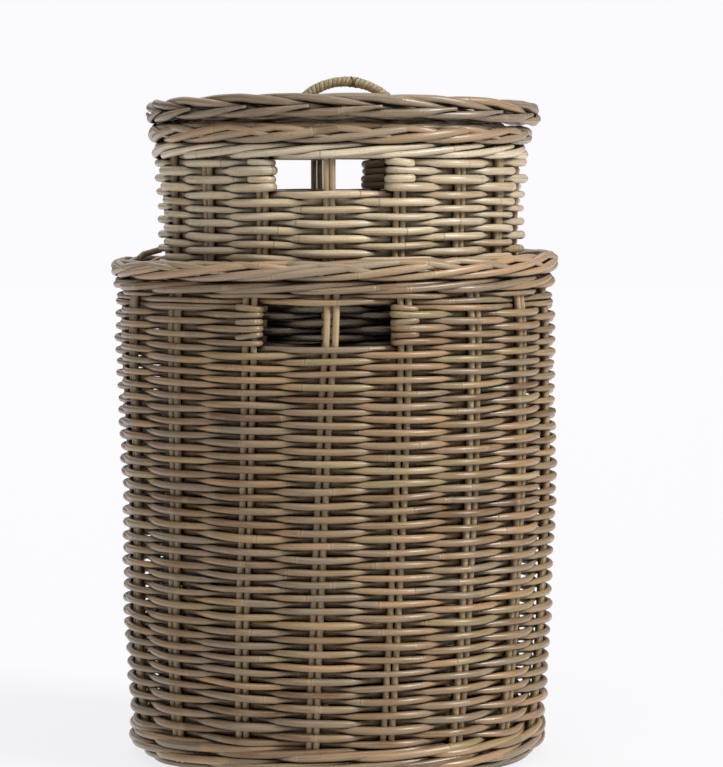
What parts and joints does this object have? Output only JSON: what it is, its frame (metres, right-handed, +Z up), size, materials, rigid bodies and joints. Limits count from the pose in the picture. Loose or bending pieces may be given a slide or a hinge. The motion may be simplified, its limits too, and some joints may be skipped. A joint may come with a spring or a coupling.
{
  "type": "nested laundry baskets",
  "caption": "Round woven rattan laundry baskets, a smaller one nested in a larger one, with hand-holds and a loose lid with an arched handle.",
  "frame": {"origin": "centre of the flat foot, on the floor", "axes": "+Z up, -Y to the front hand-hold, +X to the right seen from the front"},
  "size_m": [0.5039, 0.504, 0.7606],
  "materials": {
    "outer_rattan": "natural rattan core, grey-brown wash, semi-gloss",
    "inner_rattan": "natural rattan core, grey-beige wash, semi-gloss",
    "rim_rattan": "natural rattan core, warm tan, semi-gloss",
    "stake_rattan": "natural rattan core, brown, semi-gloss",
    "split_cane": "split cane, pale tan, satin"
  },
  "bodies": {
    "outer_basket": {"outer_foot": "outer_rattan", "outer_base_sticks": "stake_rattan", "outer_base_weave": "outer_rattan", "outer_upsett": "outer_rattan", "outer_stakes": "stake_rattan", "outer_hold_stakes": "stake_rattan", "outer_weave_outside": "outer_rattan", "outer_weave_inside": "outer_rattan", "outer_side_left": "outer_rattan", "outer_side_right": "outer_rattan", "outer_turned_ends": "outer_rattan", "outer_crown_rows": "outer_rattan", "outer_wale": "rim_rattan", "outer_rim": "rim_rattan"},
    "inner_basket": {"inner_foot": "inner_rattan", "inner_base_sticks": "stake_rattan", "inner_base_weave": "inner_rattan", "inner_upsett": "inner_rattan", "inner_stakes": "stake_rattan", "inner_hold_stakes": "stake_rattan", "inner_weave_outside": "inner_rattan", "inner_weave_inside": "inner_rattan", "inner_side_left": "inner_rattan", "inner_side_right": "inner_rattan", "inner_turned_ends": "inner_rattan", "inner_wale": "inner_rattan", "inner_rim": "rim_rattan"},
    "lid": {"lid_sticks": "stake_rattan", "lid_weave": "inner_rattan", "lid_border": "rim_rattan", "lid_seat_ring": "inner_rattan", "lid_handle_core": "stake_rattan", "lid_handle_wrap": "split_cane", "lid_handle_stitch": "split_cane"}
  },
  "joints": [
    {"name": "inner_lift", "type": "slide", "parent": "outer_basket", "child": "inner_basket", "axis": [0, 0, 1], "range_m": [0, 0.6]},
    {"name": "lid_lift", "type": "slide", "parent": "inner_basket", "child": "lid", "axis": [0, 0, 1], "range_m": [0, 0.25]}
  ]
}
